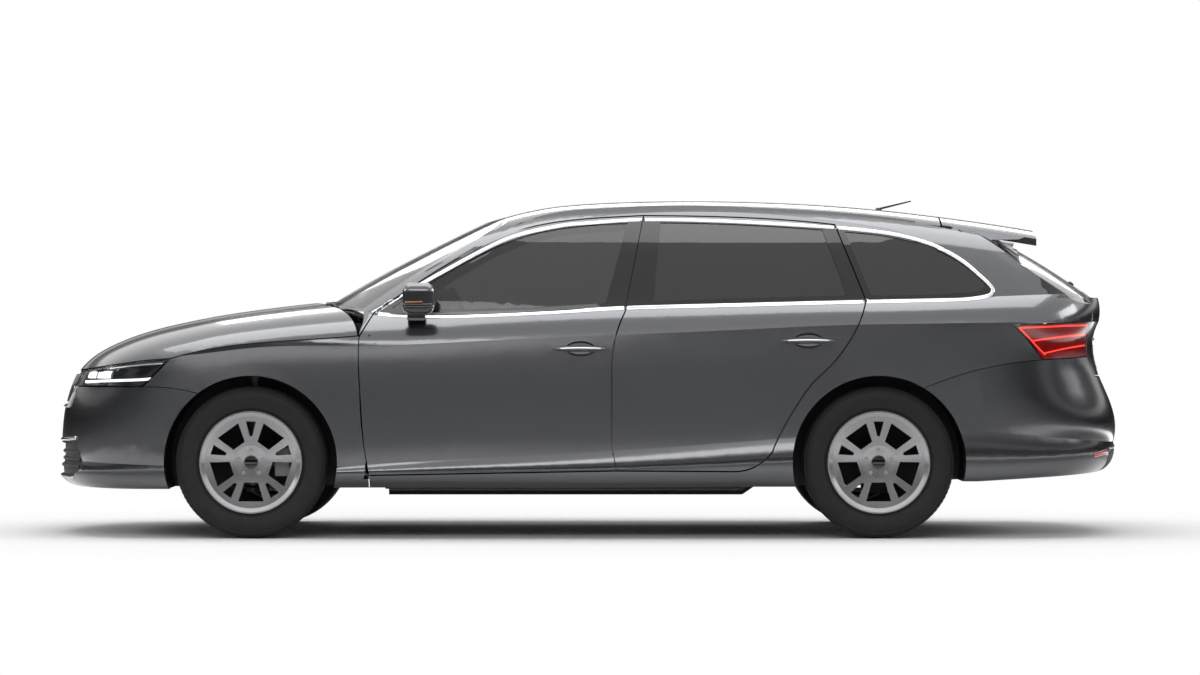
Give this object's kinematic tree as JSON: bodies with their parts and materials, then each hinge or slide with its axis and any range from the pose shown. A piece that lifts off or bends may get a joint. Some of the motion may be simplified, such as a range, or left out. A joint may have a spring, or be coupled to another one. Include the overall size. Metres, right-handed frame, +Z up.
{
  "type": "station wagon",
  "caption": "Five-door station wagon on alloy wheels: hollow body with opening doors, bonnet and tailgate, steering front knuckles, rolling wheels and a modelled cabin.",
  "frame": {"origin": "on the ground, under the middle of the car's length and width", "axes": "+Z up, the nose points to -Y, the car's own left side is +X"},
  "size_m": [2.002, 4.6894, 1.4734],
  "materials": {
    "body_paint": "metallic graphite grey clear coat",
    "side_glass": "tinted",
    "screen_glass": "lightly tinted",
    "lamp_front": "clear lens over a dark housing",
    "lamp_rear": "dark smoked red",
    "bright_trim": "bright anodised",
    "black_trim": "grained black",
    "rim_alloy": "silver lacquer",
    "tyre_rubber": "black rubber",
    "chassis_steel": "black chassis paint",
    "cast_parts": "as cast",
    "exhaust_steel": "dull",
    "cabin_trim": "soft dark",
    "seat_cloth": "woven dark grey"
  },
  "bodies": {
    "shell": {"body_side_left": "body_paint", "body_side_right": "body_paint", "roof_panel": "body_paint", "front_wings": "body_paint", "front_bumper": "body_paint", "rear_bumper": "body_paint", "windscreen": "screen_glass", "quarter_glasses": "side_glass", "cowl": "black_trim", "front_grille": "black_trim", "headlamps": "lamp_front", "tail_lamps": "lamp_rear", "roof_rails": "bright_trim", "aerial": "black_trim", "arch_liners": "black_trim", "floor_pan": "chassis_steel", "front_structure": "chassis_steel", "front_subframe": "chassis_steel", "rear_axle": "chassis_steel", "radiator": "black_trim", "engine_block": "cast_parts", "exhaust": "exhaust_steel", "dashboard": "cabin_trim", "steering_wheel": "cabin_trim", "front_seats": "seat_cloth", "rear_bench": "seat_cloth"},
    "bonnet": {"bonnet": "body_paint"},
    "tailgate": {"tailgate": "body_paint", "tailgate_glass": "side_glass"},
    "front_door_left": {"door_front_left": "body_paint", "door_glass_front_left": "side_glass", "mirror_left": "body_paint"},
    "rear_door_left": {"door_rear_left": "body_paint", "door_glass_rear_left": "side_glass"},
    "steering_left": {"knuckle_left": "cast_parts"},
    "wheel_front_left": {"rim_front_left": "rim_alloy", "tyre_front_left": "tyre_rubber"},
    "wheel_rear_left": {"rim_rear_left": "rim_alloy", "tyre_rear_left": "tyre_rubber"},
    "front_door_right": {"door_front_right": "body_paint", "door_glass_front_right": "side_glass", "mirror_right": "body_paint"},
    "rear_door_right": {"door_rear_right": "body_paint", "door_glass_rear_right": "side_glass"},
    "steering_right": {"knuckle_right": "cast_parts"},
    "wheel_front_right": {"rim_front_right": "rim_alloy", "tyre_front_right": "tyre_rubber"},
    "wheel_rear_right": {"rim_rear_right": "rim_alloy", "tyre_rear_right": "tyre_rubber"}
  },
  "joints": [
    {"name": "front_door_left_hinge", "type": "hinge", "parent": "shell", "child": "front_door_left", "pos_m": [0.895, -0.93, 0.6], "axis": [0, 0, -1], "range_deg": [0, 65]},
    {"name": "rear_door_left_hinge", "type": "hinge", "parent": "shell", "child": "rear_door_left", "pos_m": [0.897, 0.149, 0.6], "axis": [0, 0, -1], "range_deg": [0, 65]},
    {"name": "front_door_right_hinge", "type": "hinge", "parent": "shell", "child": "front_door_right", "pos_m": [-0.895, -0.93, 0.6], "axis": [0, 0, 1], "range_deg": [0, 65]},
    {"name": "rear_door_right_hinge", "type": "hinge", "parent": "shell", "child": "rear_door_right", "pos_m": [-0.897, 0.149, 0.6], "axis": [0, 0, 1], "range_deg": [0, 65]},
    {"name": "bonnet_hinge", "type": "hinge", "parent": "shell", "child": "bonnet", "pos_m": [0, -0.98, 0.905], "axis": [-1, 0, 0], "range_deg": [0, 48]},
    {"name": "tailgate_hinge", "type": "hinge", "parent": "shell", "child": "tailgate", "pos_m": [0, 1.571, 1.385], "axis": [1, 0, 0], "range_deg": [0, 78]},
    {"name": "steer_left", "type": "hinge", "parent": "shell", "child": "steering_left", "pos_m": [0.74, -1.4395, 0.19], "axis": [-0.2075, 0, 0.9782], "range_deg": [-35, 35]},
    {"name": "steer_right", "type": "hinge", "parent": "shell", "child": "steering_right", "pos_m": [-0.74, -1.4395, 0.19], "axis": [0.2075, 0, 0.9782], "range_deg": [-35, 35]},
    {"name": "roll_front_left", "type": "hinge", "parent": "steering_left", "child": "wheel_front_left", "pos_m": [0.7715, -1.4395, 0.326], "axis": [1, 0, 0], "continuous": true},
    {"name": "roll_front_right", "type": "hinge", "parent": "steering_right", "child": "wheel_front_right", "pos_m": [-0.7715, -1.4395, 0.326], "axis": [1, 0, 0], "continuous": true},
    {"name": "roll_rear_left", "type": "hinge", "parent": "shell", "child": "wheel_rear_left", "pos_m": [0.7675, 1.2465, 0.326], "axis": [1, 0, 0], "continuous": true},
    {"name": "roll_rear_right", "type": "hinge", "parent": "shell", "child": "wheel_rear_right", "pos_m": [-0.7675, 1.2465, 0.326], "axis": [1, 0, 0], "continuous": true}
  ],
  "couplings": [
    {"joint": "steer_right", "follows": "steer_left", "ratio": 1}
  ]
}
